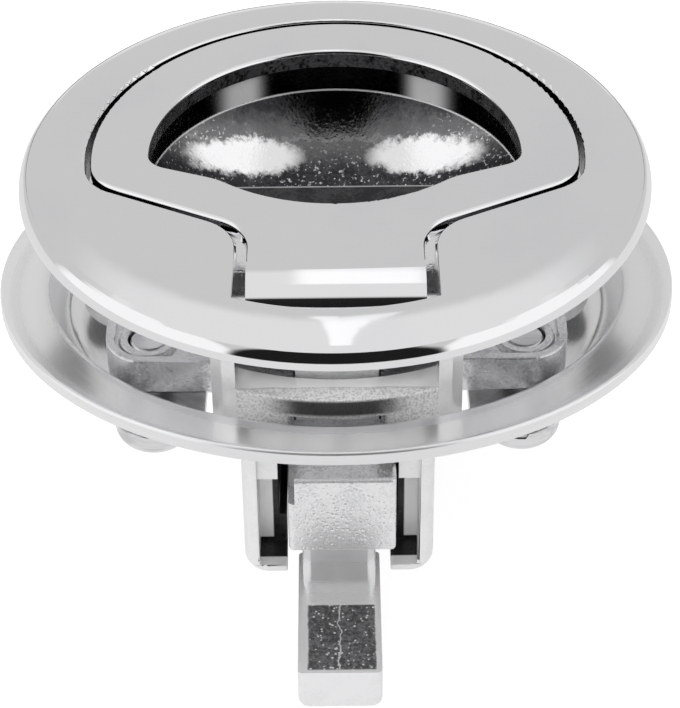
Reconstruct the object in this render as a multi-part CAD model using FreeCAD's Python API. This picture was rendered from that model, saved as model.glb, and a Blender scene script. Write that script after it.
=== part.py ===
import FreeCAD, Part
import math
import os

# Flush slam latch for a door or hatch. All sizes are millimetres. The origin is the centre of
# the bezel's underside, which lies on the panel. +Z points out of the panel, -Y to the keeper.

V = FreeCAD.Vector
ORIGIN = V(0, 0, 0)
X_AXIS = V(1, 0, 0)
Y_AXIS = V(0, 1, 0)
Z_AXIS = V(0, 0, 1)

# Bezel
bezel_radius = 31.75
bezel_height = 2.8
bezel_rim_height = 1.2
bezel_border = 4.85

# Pocket for the handle: a round head, two sloping shoulders and a straight neck
head_inset = 6.8
neck_half_width = 9.6
neck_end_inset = 5.85
shoulder_rise = 6.75
shoulder_angle = 27.0
head_corner_radius = 5.0
throat_radius = 5.0
pocket_wall = 1.3
pocket_edge_round = 0.3

# Handle and its gaps to the pocket
head_gap = 0.5
shoulder_gap = 0.65
neck_gap = 1.15
end_gap = 1.05
handle_thickness = 1.9
handle_edge_round = 0.4
handle_relief = 0.7
grip_band = 6.35
grip_apex_share = 0.495
grip_angle = 21.0
grip_corner_radius = 2.6
belly_share = 0.94
belly_blend_share = 0.375

# Finger recess under the handle
seat_gap = 0.3
well_clearance = 0.7
well_floor = -2.4
dish_depth = 9.6
dish_step_y = 2.2
finger_shelf = -3.2
cup_bottom = -13.4

# Handle hinge and the lever below it
drum_radius = 4.7
drum_setback = 0.35
hinge_pin_radius = 1.2
pin_end_cover = 0.4
press_clearance = 0.02
running_clearance = 0.06
web_reach = 6.2
web_blend = 1.6
lever_length = 12.0
lever_lean = 10.0
lever_tip_radius = 1.5
lever_half_thickness = 1.0
lever_half_width = 4.0
lever_root_half = 3.2
lever_root_height = 4.2
lever_gap = 0.35
handle_open_angle = 40.0

# Front of the body below the bezel
front_step = 0.1
front_wall = 2.1
front_recess = 0.5
post_width = 2.4
window_top_height = 7.3
band_height = 1.9
lower_window_height = 2.3
lower_window_ledge = 0.3
lower_window_half_width = 4.7
neck_floor_thickness = 1.5
channel_length = 7.4

# Lugs for the clamp screws
lug_inset = 13.35
lug_setback = 4.1
lug_radius = 4.2
lug_root_length = 3.2
lug_top = -8.3
lug_bottom = -13.0
lug_rim = 0.9
lug_recess = 0.8
lug_boss_wall = 0.9
lug_boss_drop = 0.3
lug_chamfer = 1.0

# Bolt housing
housing_side_wall = 3.6
housing_setback = 4.0
spring_room = 12.0
housing_bottom = -35.2
housing_corner_radius = 2.5
housing_edge_radius = 1.6
mouth_wall = 1.55
mouth_sill = 1.6
mouth_lintel = 2.5
mouth_depth = 4.0
tab_drop = 2.2
tab_setback = 0.8

# Bolt
bolt_setback = 2.0
bolt_length = 14.0
bolt_left = -5.0
bolt_right = 5.75
bolt_top = -20.2
bolt_bottom = -29.8
bolt_edge_round = 0.5
bolt_clearance = 0.3
bolt_guide_gap = 0.25
bolt_neck_width = 7.4
bolt_neck_depth = 6.5
bolt_neck_setback = 0.4
bolt_neck_round = 0.9
slot_side_gap = 1.6
foot_gap = 0.8
foot_width = 8.4
foot_height = 4.8
foot_reach = 10.8
foot_nose_round = 1.1
foot_edge_round = 0.45
ramp_angle = 38.0
ramp_run = 6.4
bolt_lug_width = 8.0
bolt_lug_thickness = 3.0
bolt_lug_rise = 2.8
bolt_lug_round = 0.6
bolt_lug_headroom = 0.7

# Bolt spring, its guide and the rear cover
spring_mean_radius = 2.75
spring_wire = 0.8
spring_turns = 8.0
spring_end_gap = 0.05
spring_bore_radius = 3.5
spring_bore_depth = 8.0
guide_radius = 1.9
guide_length = 10.4
guide_tip_chamfer = 0.6
guide_spigot_radius = 1.2
guide_head_radius = 2.0
guide_head_height = 0.6
guide_head_round = 0.4
cover_thickness = 1.5
cover_setback = 1.5
cover_screw_radius = 1.0
cover_screw_depth = 6.0
cover_screw_hole_rest = 0.3
cover_screw_head_radius = 1.9
cover_screw_head_height = 1.2
cover_screw_head_round = 0.6
cover_screw_drop = 1.9
cover_screw_lift = 4.2

# Handle return spring on the hinge pin
return_wire = 0.6
return_mean_radius = 1.75
return_turns = 3
return_pitch = 0.69
return_inset = 3.4
return_leg_angle = 15.0
return_short_leg = 3.5
return_leg_bite = 1.0
return_gap = 0.4
return_leg_gap = 0.05

# Backing ring
ring_rim_width = 4.9
ring_thickness = 1.5
ring_step = 3.8
ring_wall_run = 1.9
ring_floor_gap = 2.0
ring_floor_width = 4.0
ring_notch_clearance = 0.9
ring_notch_front_gap = 1.3
ring_opening_round = 1.8
ring_foot_blend = 1.4
ring_lip_blend = 0.9
ring_lip_under_blend = 0.8
ring_foot_under_blend = 1.2
ring_edge_round = 0.35
ring_tilt = 7.3
ring_lug_gap = 0.4
ring_screw_hole_radius = 2.6

# Clamp screws and their washers
screw_radius = 2.0
screw_chamfer = 0.4
screw_stand_out = 0.4
screw_head_radius = 4.0
screw_head_height = 3.1
screw_head_round = 2.25
flat_washer_radius = 4.5
flat_washer_thickness = 1.0
lock_washer_radius = 3.8
lock_washer_thickness = 1.1
lock_washer_slit = 0.4
lock_washer_slit_angle = 25.0
washer_round = 0.15
washer_gap = 0.06

# Overlap of solids that are joined, and a length beyond the whole latch
bite = 0.1
far = 2 * bezel_radius

# Places that follow from the sizes above
bezel_flat_radius = bezel_radius - bezel_border
head_radius = bezel_radius - head_inset
neck_end_radius = bezel_radius - neck_end_inset
shoulder_apex = -(head_radius - shoulder_rise)
grip_radius = head_radius - grip_band
grip_apex = -grip_apex_share * grip_radius
belly_radius = belly_share * grip_radius
pivot_z = bezel_height - drum_radius
pivot_y = -(neck_end_radius - end_gap - drum_radius - drum_setback)
pivot = V(0, pivot_y, pivot_z)
handle_half = neck_half_width - neck_gap
handle_under = bezel_height - handle_thickness
seat_z = handle_under - seat_gap
well_radius = grip_radius + well_clearance
post_side = neck_half_width + post_width
pin_half = post_side - pin_end_cover
front_radius = neck_end_radius + front_step
channel_back = pivot_y + channel_length
lug_x = bezel_radius - lug_inset
lug_y = pivot_y + lug_setback
return_x = neck_half_width - return_inset
neck_bottom = lug_bottom
neck_floor = neck_bottom + neck_floor_thickness
window_sill = -window_top_height
band_bottom = window_sill - band_height
tip_y = pivot_y - lever_length * math.sin(math.radians(lever_lean))
tip_z = pivot_z - lever_length * math.cos(math.radians(lever_lean))
bolt_travel = lever_length * (
    math.sin(math.radians(handle_open_angle - lever_lean)) + math.sin(math.radians(lever_lean))
)
bolt_lug_front = tip_y + lever_tip_radius + lever_gap
bolt_lug_top = tip_z + bolt_lug_rise
bolt_front = -(front_radius - bolt_setback)
bolt_back = bolt_front + bolt_length
bolt_axis_x = (bolt_left + bolt_right) / 2
bolt_axis_z = (bolt_top + bolt_bottom) / 2
channel_half = max(-bolt_left, bolt_right) + bolt_clearance
housing_half_width = channel_half + housing_side_wall
housing_front = -(front_radius - housing_setback)
housing_back = bolt_back + spring_room
mouth_half_width = housing_half_width - mouth_wall
foot_top = housing_bottom - foot_gap
mouth_bottom = housing_bottom + mouth_sill
mouth_top = neck_bottom - mouth_lintel
tab_bottom = bolt_top - tab_drop
cover_top = neck_bottom - cover_setback
cover_outside = housing_back + cover_thickness
leg_radians = math.radians(return_leg_angle)
leg_to_wall = (
    channel_back - pivot_y + return_mean_radius * math.sin(leg_radians)
) / math.cos(leg_radians)
tilt_slope = math.tan(math.radians(ring_tilt))
ring_floor_radius = front_radius + ring_floor_gap
ring_hole_radius = ring_floor_radius - ring_floor_width
ring_lip_radius = ring_floor_radius + ring_wall_run
ring_radius = ring_lip_radius + ring_rim_width
ring_floor_z = lug_bottom - ring_lug_gap - lug_radius * tilt_slope
ring_under_z = ring_floor_z - ring_thickness / math.cos(math.radians(ring_tilt))
washer_top = ring_under_z - flat_washer_radius * tilt_slope - washer_gap
lock_top = washer_top - flat_washer_thickness
screw_seat = lock_top - lock_washer_thickness
screw_end = lug_top - lug_recess + screw_stand_out


def box(x0, x1, y0, y1, z0, z1):
    return Part.makeBox(x1 - x0, y1 - y0, z1 - z0, V(x0, y0, z0))


def disc(radius, z0, z1, x=0.0, y=0.0):
    """Upright cylinder between two heights."""
    return Part.makeCylinder(radius, z1 - z0, V(x, y, z0), Z_AXIS)


def bar(radius, x0, x1, y, z):
    """Cylinder along X."""
    return Part.makeCylinder(radius, x1 - x0, V(x0, y, z), X_AXIS)


def rod(radius, y0, y1, x, z):
    """Cylinder along Y."""
    return Part.makeCylinder(radius, y1 - y0, V(x, y0, z), Y_AXIS)


def prism(points, z0, z1):
    """Outline in X and Y, raised between two heights."""
    wire = Part.makePolygon([V(x, y, z0) for x, y in points + points[:1]])
    return Part.Face(wire).extrude(V(0, 0, z1 - z0))


def side_prism(points, x0, x1):
    """Outline in Y and Z, stretched along X."""
    wire = Part.makePolygon([V(x0, y, z) for y, z in points + points[:1]])
    return Part.Face(wire).extrude(V(x1 - x0, 0, 0))


def both_sides(shape):
    return shape.fuse(shape.mirror(ORIGIN, X_AXIS))


def is_upright(edge):
    if not isinstance(edge.Curve, Part.Line) or len(edge.Vertexes) != 2:
        return False
    return edge.BoundBox.XLength < 1e-3 and edge.BoundBox.YLength < 1e-3


def upright_edges(shape, keep=lambda x, y: True):
    """Straight edges parallel to Z whose place passes the test."""
    return [
        edge
        for edge in shape.Edges
        if is_upright(edge) and keep(edge.Vertexes[0].Point.x, edge.Vertexes[0].Point.y)
    ]


def edges_at(shape, z, keep=lambda bounds: True):
    """Edges that lie wholly at one height and whose bounds pass the test."""
    return [
        edge
        for edge in shape.Edges
        if abs(edge.BoundBox.ZMin - z) < 1e-3
        and abs(edge.BoundBox.ZMax - z) < 1e-3
        and keep(edge.BoundBox)
    ]


def edges_behind(shape, y):
    """Edges that lie wholly at or behind one place along Y."""
    return [edge for edge in shape.Edges if edge.BoundBox.YMin > y - 0.01]


def above_vee(apex, angle, z0, z1):
    """The region above two lines that rise from the apex to both sides."""
    rise = far * math.tan(math.radians(angle))
    points = [(-far, apex + rise), (0, apex), (far, apex + rise), (far, far), (-far, far)]
    return prism(points, z0, z1)


def keyhole(grow, head, neck, end, apex, z0, z1):
    """Round head, sloping shoulders and neck, all grown outwards by one amount."""
    side = neck + grow
    lift = grow / math.cos(math.radians(shoulder_angle))
    shape = disc(head + grow, z0, z1).common(above_vee(apex - lift, shoulder_angle, z0, z1))
    throat = disc(end + grow, z0, z1).common(box(-side, side, -far, 0, z0, z1))
    shape = shape.fuse(throat).removeSplitter()
    corners = upright_edges(shape, lambda x, y: abs(x) > side + 1 and y < 0)
    shape = shape.makeFillet(head_corner_radius + grow, corners)
    throats = upright_edges(shape, lambda x, y: abs(abs(x) - side) < 0.01 and y > -head * 0.8)
    return shape.makeFillet(max(throat_radius - grow, 0.5), throats)


def pocket(grow, z0, z1):
    return keyhole(grow, head_radius, neck_half_width, neck_end_radius, shoulder_apex, z0, z1)


def grip_hole(z0, z1):
    """Finger opening in the handle: an arc above, a shallow belly below."""
    hole = disc(grip_radius, z0, z1).common(above_vee(grip_apex, grip_angle, z0, z1))
    belly = disc(belly_radius, z0, z1, 0, grip_apex + bite + belly_radius)
    belly = belly.common(box(-belly_radius, belly_radius, -belly_radius, 0, z0, z1))
    hole = hole.fuse(belly).removeSplitter()
    blends = upright_edges(
        hole, lambda x, y: grip_radius * 0.4 < abs(x) < grip_radius * 0.75 and y < -1
    )
    hole = hole.makeFillet(belly_blend_share * grip_radius, blends)
    corners = upright_edges(hole, lambda x, y: abs(x) > grip_radius * 0.85)
    return hole.makeFillet(grip_corner_radius, corners)


def bezel():
    """Flat top with the handle's pocket, and a domed border that runs smoothly into the flat."""
    run = bezel_radius - bezel_flat_radius
    drop = bezel_height - bezel_rim_height
    dome = (run**2 + drop**2) / (2 * drop)
    half = math.asin(run / dome) / 2
    foot = V(bezel_radius, 0, 0)
    rim = V(bezel_radius, 0, bezel_rim_height)
    middle = V(bezel_flat_radius + dome * math.sin(half), 0, bezel_height - dome * (1 - math.cos(half)))
    crest = V(bezel_flat_radius, 0, bezel_height)
    top = V(0, 0, bezel_height)
    outline = [
        Part.LineSegment(ORIGIN, foot).toShape(),
        Part.LineSegment(foot, rim).toShape(),
        Part.Arc(rim, middle, crest).toShape(),
        Part.LineSegment(crest, top).toShape(),
        Part.LineSegment(top, ORIGIN).toShape(),
    ]
    shape = Part.Face(Part.Wire(outline)).revolve(ORIGIN, Z_AXIS, 360)
    shape = shape.cut(pocket(0, seat_z, bezel_height + 1))
    within = 2 * bezel_flat_radius - 0.1
    pocket_rim = edges_at(shape, bezel_height, lambda b: b.XLength < within and b.YLength < within)
    return shape.makeFillet(pocket_edge_round, pocket_rim)


def finger_recess():
    """Round well with a dished floor, and a shelf nearer the hinge for the fingertip."""
    top = seat_z + bite
    behind = box(-far, far, dish_step_y, far, -far, far)
    ahead = box(-far, far, -far, dish_step_y, -far, far)
    ball = (well_radius**2 + dish_depth**2) / (2 * dish_depth)
    dish = Part.makeSphere(ball, V(0, 0, well_floor - dish_depth + ball))
    dish = dish.common(disc(well_radius, well_floor - 2 * dish_depth, well_floor)).common(behind)
    well = disc(well_radius, well_floor, top).common(behind)
    shelf = pocket(-pocket_wall, finger_shelf, top).common(ahead)
    shelf = shelf.common(disc(well_radius, finger_shelf, top))
    return well.fuse([dish, shelf])


def lug_outline(grow, z0, z1):
    """Rounded ear beside the neck, grown outwards by one amount."""
    radius = lug_radius + grow
    root_y = lug_y + lug_radius + lug_root_length
    shape = disc(radius, z0, z1, lug_x, lug_y)
    shape = shape.fuse(box(neck_half_width, lug_x, lug_y - radius, root_y, z0, z1))
    return shape.fuse(box(lug_x - 0.01, lug_x + radius, lug_y, root_y, z0, z1)).removeSplitter()


def lug():
    """Right-hand ear that takes one clamp screw, with a raised rim round its top."""
    ear = lug_outline(0, lug_bottom, lug_top)
    under = edges_at(ear, lug_bottom, lambda b: b.XMax > lug_x + 0.1 and b.YMin < lug_y + 0.1)
    ear = ear.makeChamfer(lug_chamfer, under)
    recess_floor = lug_top - lug_recess
    recess = lug_outline(-lug_rim, recess_floor, lug_top + bite)
    boss = disc(screw_radius + lug_boss_wall, recess_floor, lug_top - lug_boss_drop, lug_x, lug_y)
    return ear.cut(recess.cut(boss))


def neck_front():
    """Lower part of the neck: two side posts and a curved front with a sunk lower face."""
    block = box(-post_side, post_side, -far, channel_back, neck_bottom, bite)
    shell = disc(front_radius, neck_bottom, bite).common(block)
    sunk = disc(far, neck_bottom, band_bottom).cut(
        disc(front_radius - front_recess, neck_bottom, band_bottom)
    )
    inset = box(-neck_half_width, neck_half_width, -far, channel_back, neck_bottom, band_bottom)
    return shell.cut(sunk.common(inset))


def neck_channel():
    """Room for the hinge drum and the lever, with both windows in the neck's front."""
    top = seat_z + bite
    half = neck_half_width
    room = box(-half, half, -far, channel_back, neck_floor, top)
    upper = disc(neck_end_radius, window_sill, top).common(room)
    lower = disc(front_radius - front_wall, neck_floor, top).common(room)
    window = box(-half, half, -far, pivot_y, window_sill, 0)
    low_top = band_bottom - lower_window_ledge
    low_half = lower_window_half_width
    low = box(-low_half, low_half, -far, pivot_y, low_top - lower_window_height, low_top)
    return upper.fuse([lower, window, low])


def housing():
    """Box under the neck that guides the bolt."""
    half = housing_half_width
    shape = box(-half, half, housing_front, housing_back, housing_bottom, cup_bottom + bite)
    floor_edges = edges_at(
        shape, housing_bottom, lambda b: b.XLength < 0.01 and b.YLength > housing_corner_radius
    )
    shape = shape.makeFillet(housing_corner_radius, floor_edges)
    front = upright_edges(shape, lambda x, y: y < housing_front + 0.1)
    return shape.makeFillet(housing_edge_radius, front)


def housing_cavity():
    """Everything that is open inside the housing, from its mouth to the open back."""
    top = bolt_top + bolt_guide_gap
    low = bolt_bottom - bolt_guide_gap
    ahead = housing_front - 1
    half = mouth_half_width
    mouth_end = housing_front + mouth_depth
    channel = box(-channel_half, channel_half, ahead, housing_back + 1, low, top)
    mouth = box(-half, half, ahead, mouth_end, mouth_bottom, tab_bottom)
    face = box(-half, half, ahead, housing_front + tab_setback, mouth_bottom, mouth_top)
    upper = box(-channel_half, channel_half, ahead, mouth_end, tab_bottom - bite, mouth_top)
    lug_half = max(bolt_lug_width / 2, lever_half_width) + bolt_clearance
    lug_start = -(front_radius - front_wall + 0.6)
    lug_end = bolt_lug_front + bolt_lug_thickness + bolt_travel + bolt_clearance
    lug_slot = box(-lug_half, lug_half, lug_start, lug_end, top - bite, bolt_lug_top + bolt_lug_headroom)
    slot_half = bolt_neck_width / 2 + slot_side_gap
    slot_end = bolt_front + bolt_neck_depth + bolt_travel + 2 * bolt_clearance
    slot = box(-slot_half, slot_half, ahead, slot_end, housing_bottom - 1, low + bite)
    return channel.fuse([mouth, face, upper, lug_slot, slot])


def cover_screw_places():
    side = (channel_half + housing_half_width) / 2
    heights = (cover_top - cover_screw_drop, housing_bottom + cover_screw_lift)
    return [(x, z) for z in heights for x in (-side, side)]


def screw_and_pin_holes():
    """Holes for the clamp screws, the hinge pin, the cover screws and the spring's leg."""
    holes = [bar(hinge_pin_radius + press_clearance, -pin_half, pin_half, pivot_y, pivot_z)]
    for side in (-1, 1):
        radius = screw_radius + running_clearance
        holes.append(disc(radius, lug_bottom - 1, lug_top + 1, side * lug_x, lug_y))
    for x, z in cover_screw_places():
        start = housing_back - cover_screw_depth - cover_screw_hole_rest
        holes.append(rod(cover_screw_radius + press_clearance, start, housing_back + 1, x, z))
    x, leg_z = return_leg_places()[1]
    near = pivot_y + leg_to_wall
    leg_hole = rod(return_wire / 2 + return_leg_gap, near - 1, near + 1.2 * return_leg_bite, x, leg_z)
    leg_hole.rotate(pivot, X_AXIS, -return_leg_angle)
    return holes + [leg_hole]


def latch_body():
    """One casting: bezel, handle pocket, finger dish, neck, lugs and bolt housing."""
    cup = pocket(pocket_wall, cup_bottom, bite)
    body = bezel().fuse([cup, neck_front(), both_sides(lug()), housing()])
    for room in (finger_recess(), neck_channel(), housing_cavity()):
        body = body.cut(room)
    return body.cut(screw_and_pin_holes()).removeSplitter()


def handle_plate():
    """Flat plate that fills the pocket, rounded on top, relieved below, with its opening."""
    lifted_apex = shoulder_apex + shoulder_gap / math.cos(math.radians(shoulder_angle))
    plate = keyhole(
        0, head_radius - head_gap, handle_half, neck_end_radius - end_gap,
        lifted_apex, handle_under, bezel_height,
    )
    plate = plate.makeFillet(handle_edge_round, edges_at(plate, bezel_height))
    plate = plate.makeChamfer(handle_relief, edges_at(plate, handle_under))
    plate = plate.cut(grip_hole(handle_under - 1, bezel_height + 1))
    within = grip_radius + 0.1
    opening = edges_at(
        plate, bezel_height, lambda b: b.YMin > -within and b.YMax < within and b.XMax < within
    )
    return plate.makeFillet(handle_edge_round, opening)


def handle():
    """Flush handle: plate, rolled drum at the hinge and the lever below it."""
    half = handle_half
    drum = bar(drum_radius, -half, half, pivot_y, pivot_z)
    drum = drum.common(disc(neck_end_radius - end_gap, pivot_z - far, bezel_height))
    corner = box(-far, far, -far, pivot_y, pivot_z, bezel_height + 1)
    corner = corner.cut(bar(drum_radius, -far, far, pivot_y, pivot_z))
    blend_y = pivot_y + web_reach
    blend_z = handle_under - web_blend
    web = box(-half, half, pivot_y, blend_y, pivot_z, bezel_height - handle_thickness / 2)
    web = web.cut(box(-far, far, pivot_y + drum_radius - bite, far, -far, blend_z))
    web = web.cut(bar(web_blend, -far, far, blend_y, blend_z))
    shape = handle_plate().fuse([drum, web]).cut(corner).fuse(lever())
    shape = shape.cut(bar(hinge_pin_radius + running_clearance, -far, far, pivot_y, pivot_z))
    return shape.cut(return_spring_room()).removeSplitter()


def lever():
    """Arm under the drum with a rounded tip, leaning towards the keeper at rest."""
    half = lever_half_width
    front = pivot_y - lever_half_thickness
    back = pivot_y + lever_half_thickness
    tip = pivot_z - lever_length
    arm = box(-half, half, front, back, tip, pivot_z - lever_root_half)
    nose = bar(lever_tip_radius, -half, half, pivot_y, tip)
    root_top = pivot_z - lever_root_half
    root = side_prism(
        [
            (pivot_y - lever_root_half, root_top),
            (pivot_y + lever_root_half, root_top),
            (back, root_top - lever_root_height),
            (front, root_top - lever_root_height),
        ],
        -half, half,
    )
    arm = arm.fuse([nose, root])
    arm.rotate(pivot, X_AXIS, -lever_lean)
    return arm


def return_leg_places():
    """X and Z of the return spring's short and long leg, before the legs are sloped."""
    half = return_turns * return_pitch / 2
    leg_z = pivot_z - return_mean_radius
    return [(return_x - half, leg_z), (return_x + half, leg_z)]


def return_spring_room():
    """Hollow in the drum for the return spring, with a ledge under its short leg."""
    half = (return_turns * return_pitch + return_wire) / 2 + 0.15
    left = return_x - half
    right = return_x + half
    outer = return_mean_radius + return_wire / 2
    reach = pivot_y + drum_radius + 2
    room = bar(outer + return_gap, left, right, pivot_y, pivot_z)
    behind = box(left, right, pivot_y, reach, pivot_z - outer - return_leg_gap, pivot_z + outer + return_gap)
    behind.rotate(pivot, X_AXIS, -return_leg_angle)
    room = room.fuse(behind)
    for step in range(5):
        swing = box(right - 2 * return_wire, right, pivot_y, reach, pivot_z - outer - return_gap, pivot_z)
        swing.rotate(pivot, X_AXIS, -return_leg_angle - step * handle_open_angle / 4)
        room = room.fuse(swing)
    return room


def hinge_pin():
    half = pin_half - bite
    pin = bar(hinge_pin_radius, -half, half, pivot_y, pivot_z)
    return pin.makeChamfer(0.2 * hinge_pin_radius, [e for e in pin.Edges if isinstance(e.Curve, Part.Circle)])


def coil(mean_radius, wire, turns, length):
    """Round-wire coil that starts at the origin and climbs along Z."""
    helix = Part.makeHelix(length / turns, length, mean_radius)
    start = helix.Edges[0].valueAt(helix.Edges[0].FirstParameter)
    ring = Part.Wire(Part.makeCircle(wire / 2, start, Y_AXIS))
    return Part.Wire(helix).makePipeShell([ring], True, True)


def bolt_spring():
    """Compression spring between the bolt's bore and the rear cover."""
    inset = spring_wire / 2 + spring_end_gap
    start = bolt_back - spring_bore_depth + inset
    spring = coil(spring_mean_radius, spring_wire, spring_turns, housing_back - inset - start)
    spring.rotate(ORIGIN, X_AXIS, -90)
    spring.translate(V(bolt_axis_x, start, bolt_axis_z))
    return spring


def handle_return_spring():
    """Torsion spring on the pin: a short leg on the handle, a long leg anchored in the body."""
    length = return_turns * return_pitch
    spring = coil(return_mean_radius, return_wire, return_turns, length)
    spring.rotate(ORIGIN, Y_AXIS, 90)
    spring.translate(V(return_x - length / 2, pivot_y, pivot_z))
    lengths = (return_short_leg, leg_to_wall + return_leg_bite)
    legs = [
        rod(return_wire / 2, pivot_y, pivot_y + reach, x, z)
        for (x, z), reach in zip(return_leg_places(), lengths)
    ]
    spring = spring.fuse(legs)
    spring.rotate(pivot, X_AXIS, -return_leg_angle)
    return spring


def bolt():
    """Slam bolt: guided block, upright for the lever, neck through the slot, and hooked foot."""
    block = box(bolt_left, bolt_right, bolt_front, bolt_back, bolt_bottom, bolt_top)
    block = block.makeFillet(bolt_edge_round, block.Edges)
    half = bolt_lug_width / 2
    lug_back = bolt_lug_front + bolt_lug_thickness
    upright = box(-half, half, bolt_lug_front, lug_back, bolt_top - 1, bolt_lug_top)
    upright = upright.makeFillet(bolt_lug_round, edges_at(upright, bolt_lug_top))
    half = bolt_neck_width / 2
    neck_back = bolt_front + bolt_neck_depth
    neck = box(-half, half, bolt_front + bolt_neck_setback, neck_back, foot_top - 1, bolt_bottom + 1)
    neck = neck.makeFillet(bolt_neck_round, upright_edges(neck))
    bore_start = bolt_back - spring_bore_depth
    bore = rod(spring_bore_radius, bore_start, bolt_back, bolt_axis_x, bolt_axis_z)
    return block.fuse([upright, neck, bolt_foot()]).cut(bore).removeSplitter()


def bolt_foot():
    """Hooked foot: flat top for the keeper, upright nose, and a slam ramp on its underside."""
    tip = bolt_front - foot_reach
    heel = bolt_front + bolt_neck_depth
    nose = foot_top - foot_height
    low = nose - ramp_run * math.tan(math.radians(ramp_angle))
    outline = [(tip, foot_top), (heel, foot_top), (heel, low), (tip + ramp_run, low), (tip, nose)]
    foot = side_prism(outline, -foot_width / 2, foot_width / 2)
    rounded = [
        edge
        for edge in foot.Edges
        if edge.BoundBox.XLength < 0.01
        and edge.BoundBox.ZMax < foot_top - 0.01
        and edge.BoundBox.YMax < heel - 0.01
    ]
    foot = foot.makeFillet(foot_nose_round, rounded)
    return foot.makeFillet(foot_edge_round, upright_edges(foot))


def rear_cover():
    """Plate over the back of the housing, drilled for its screws and the spring guide."""
    half = housing_half_width
    plate = box(-half, half, housing_back, cover_outside, housing_bottom, cover_top)
    corners = [
        edge
        for edge in plate.Edges
        if edge.BoundBox.YLength > cover_thickness - 0.01 and edge.BoundBox.ZLength < 0.01
    ]
    plate = plate.makeFillet(housing_corner_radius, corners)
    start = housing_back - 1
    end = cover_outside + 1
    holes = [rod(cover_screw_radius + press_clearance, start, end, x, z) for x, z in cover_screw_places()]
    holes.append(rod(guide_spigot_radius + press_clearance, start, end, bolt_axis_x, bolt_axis_z))
    return plate.cut(holes)


def spring_guide():
    """Headed rod riveted into the cover, inside the bolt spring."""
    start = housing_back - guide_length
    end = cover_outside + guide_head_height
    stem = rod(guide_radius, start, housing_back, bolt_axis_x, bolt_axis_z)
    tip = [edge for edge in stem.Edges if edge.BoundBox.YMax < start + 0.01]
    stem = stem.makeChamfer(guide_tip_chamfer, tip)
    spigot = rod(guide_spigot_radius, housing_back, cover_outside, bolt_axis_x, bolt_axis_z)
    head = rod(guide_head_radius, cover_outside, end, bolt_axis_x, bolt_axis_z)
    head = head.makeFillet(guide_head_round, edges_behind(head, end))
    return stem.fuse([spigot, head])


def cover_screw(x, z):
    """Pan-head screw through the cover into the housing."""
    end = cover_outside + cover_screw_head_height
    shank = rod(cover_screw_radius, housing_back - cover_screw_depth, cover_outside, x, z)
    head = rod(cover_screw_head_radius, cover_outside, end, x, z)
    return shank.fuse(head.makeFillet(cover_screw_head_round, edges_behind(head, end)))


def ring_section():
    """Radius and height of the ring's outline, and the blend at each of its corners."""
    slope = math.atan2(ring_step, ring_lip_radius - ring_floor_radius)
    shift = ring_thickness * math.tan(slope / 2)
    under = ring_step - ring_thickness
    return [
        (ring_hole_radius / 2, 0, 0),
        (ring_floor_radius, 0, ring_foot_blend),
        (ring_lip_radius, ring_step, ring_lip_blend),
        (ring_radius, ring_step, ring_edge_round),
        (ring_radius, under, ring_edge_round),
        (ring_lip_radius + shift, under, ring_lip_under_blend),
        (ring_floor_radius + shift, -ring_thickness, ring_foot_under_blend),
        (ring_hole_radius / 2, -ring_thickness, 0),
    ]


def ring_opening():
    """Hole for the housing, widened to a notch where the neck passes."""
    low = -2 * ring_thickness
    high = 2 * ring_thickness
    notch_half = post_side + ring_notch_clearance
    notch_front = -(front_radius + ring_notch_front_gap)
    notch_back = lug_y + lug_radius + lug_root_length
    rear = disc(ring_hole_radius, low, high).common(box(-far, far, notch_back - 1, far, low, high))
    opening = rear.fuse(box(-notch_half, notch_half, notch_front, notch_back, low, high))
    opening = opening.removeSplitter()
    return opening.makeFillet(ring_opening_round, upright_edges(opening))


def backing_ring():
    """Dished ring that clamps the panel from behind, hanging slightly tilted on its screws."""
    section = ring_section()
    wire = Part.makePolygon([V(r, 0, z) for r, z, blend in section + section[:1]])
    ring = Part.Face(wire).revolve(ORIGIN, Z_AXIS, 360)
    for radius, z, blend in section:
        circles = edges_at(ring, z, lambda b: abs(b.YLength - 2 * radius) < 0.02)
        if blend:
            ring = ring.makeFillet(blend, circles)
    holes = both_sides(disc(ring_screw_hole_radius, -far, far, lug_x, lug_y))
    ring = ring.cut(ring_opening()).cut(holes)
    ring.translate(V(0, 0, ring_floor_z))
    ring.rotate(V(0, lug_y, ring_floor_z), X_AXIS, -ring_tilt)
    return ring


def clamp_screw(side):
    """Pan-head screw from below, through the ring into the lug."""
    x = side * lug_x
    under = screw_seat - screw_head_height
    head = disc(screw_head_radius, under, screw_seat, x, lug_y)
    head = head.makeFillet(screw_head_round, edges_at(head, under))
    shank = disc(screw_radius, screw_seat, screw_end, x, lug_y)
    shank = shank.makeChamfer(screw_chamfer, edges_at(shank, screw_end))
    return head.fuse(shank).removeSplitter()


def washer(side, outer, top, thickness):
    """Flat or spring washer on one clamp screw."""
    x = side * lug_x
    under = top - thickness
    ring = disc(outer, under, top, x, lug_y)
    ring = ring.makeFillet(washer_round, edges_at(ring, top) + edges_at(ring, under))
    return ring.cut(disc(screw_radius + running_clearance, under - 1, top + 1, x, lug_y))


def lock_washer(side):
    """Split spring washer: a square-section ring with one slanting cut."""
    ring = washer(side, lock_washer_radius, lock_top, lock_washer_thickness)
    half = lock_washer_slit / 2
    reach = 2 * lock_washer_thickness
    slit = box(-half, half, -lock_washer_radius - 1, -screw_radius / 2, -reach, reach)
    slit.rotate(ORIGIN, Y_AXIS, lock_washer_slit_angle)
    slit.translate(V(side * lug_x, lug_y, lock_top - lock_washer_thickness / 2))
    return ring.cut(slit)


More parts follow.
